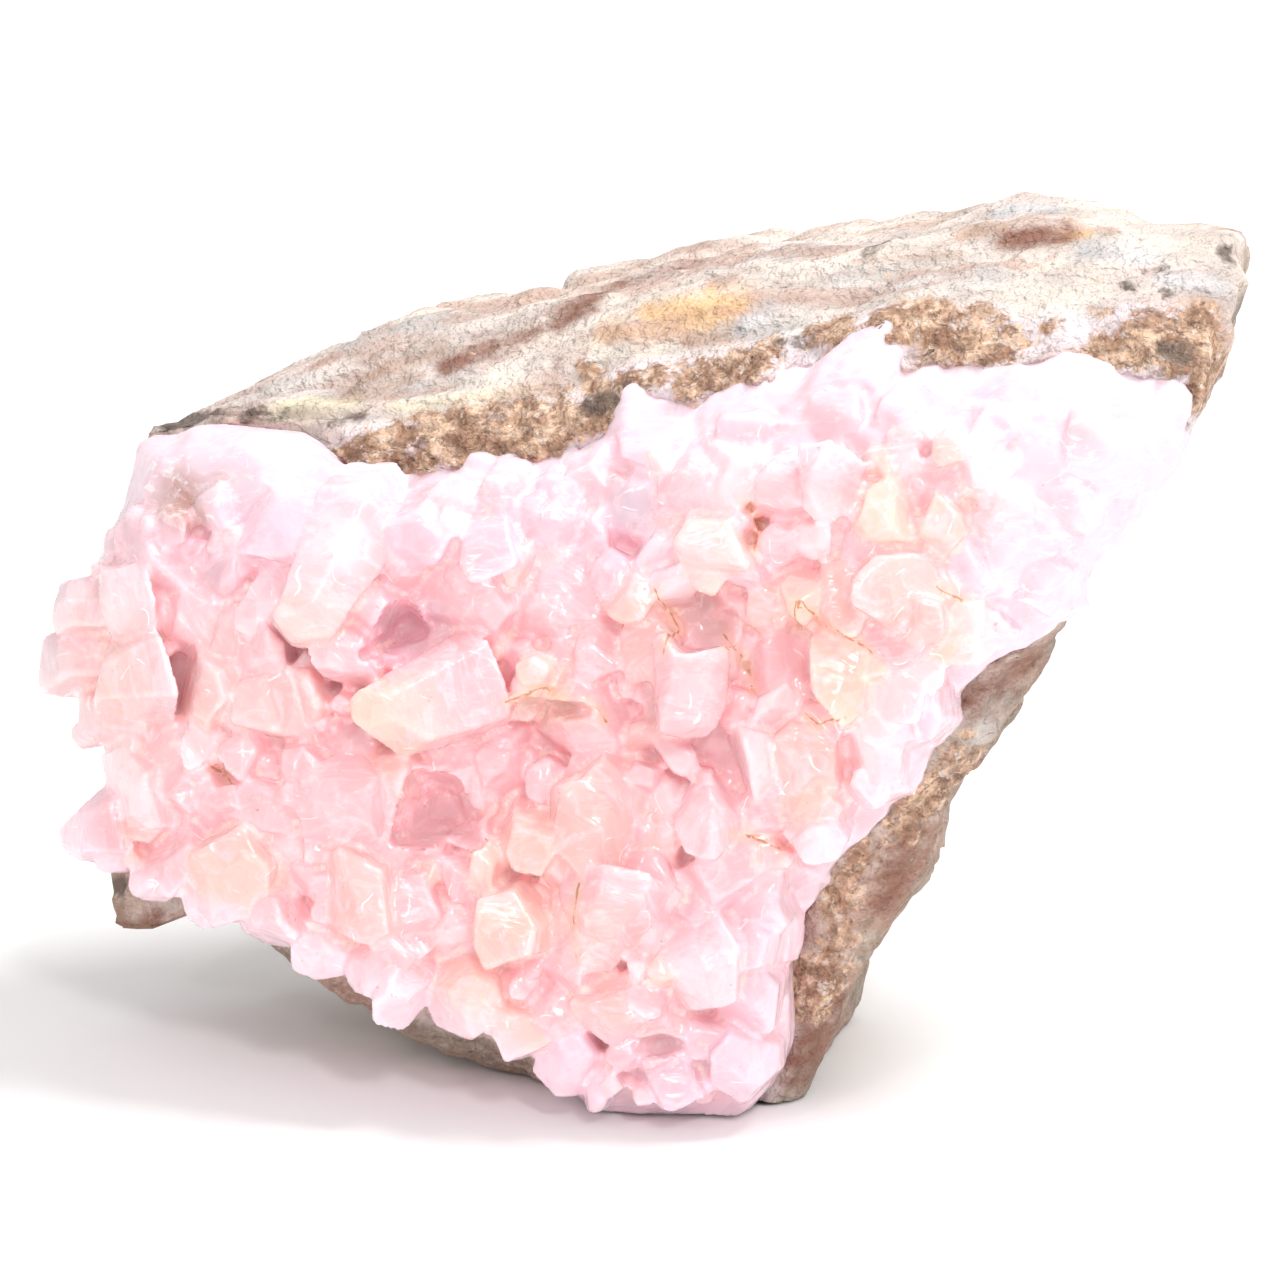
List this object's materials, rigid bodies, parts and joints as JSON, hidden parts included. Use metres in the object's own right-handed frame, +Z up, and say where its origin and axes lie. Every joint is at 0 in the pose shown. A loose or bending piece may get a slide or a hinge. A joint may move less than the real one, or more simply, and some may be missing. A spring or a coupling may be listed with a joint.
{
  "type": "cobaltoan calcite specimen",
  "caption": "Crust of intergrown pink calcite crystals on one face of a broken, iron-stained piece of host rock.",
  "frame": {"origin": "centre of the bounding box at its lowest point, where the specimen rests", "axes": "+Z up, +X along the specimen's length towards its blunt upper end, -Y out of the crystal face"},
  "size_m": [0.075, 0.0436, 0.0518],
  "materials": {
    "pink_calcite": "glassy, translucent crystal faces",
    "host_rock": "rough broken rock with rust stains"
  },
  "bodies": {
    "root": {"calcite_crust": "pink_calcite", "host_rock": "host_rock"}
  },
  "joints": []
}
